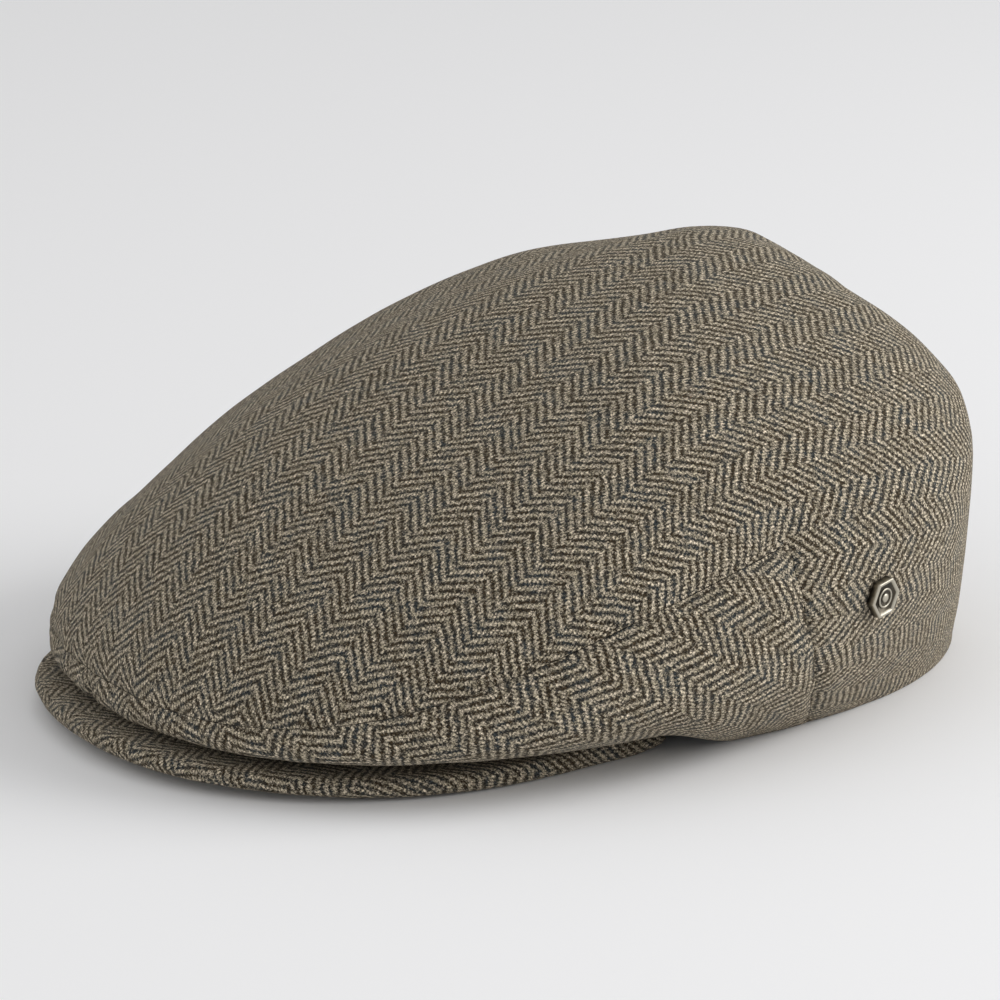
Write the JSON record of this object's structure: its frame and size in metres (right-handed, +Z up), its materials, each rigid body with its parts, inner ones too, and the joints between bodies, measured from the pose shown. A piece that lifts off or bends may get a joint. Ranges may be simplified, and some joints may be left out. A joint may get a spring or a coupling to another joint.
{
  "type": "flat cap",
  "caption": "Low rounded cloth cap with a short stiff peak sewn under its front, curved side panels and an open hollow for the head.",
  "frame": {"origin": "on the floor below the middle of the cap's length and width", "axes": "+Z up from the hem to the crest, -Y towards the peak, +X towards the wearer's left"},
  "size_m": [0.2262, 0.247, 0.111],
  "materials": {
    "tweed": "brushed wool herringbone tweed",
    "antique_metal": "dull antique silver"
  },
  "bodies": {
    "root": {"crown_top": "tweed", "side_panel_left": "tweed", "side_panel_right": "tweed", "peak": "tweed", "stud": "antique_metal"}
  },
  "joints": []
}
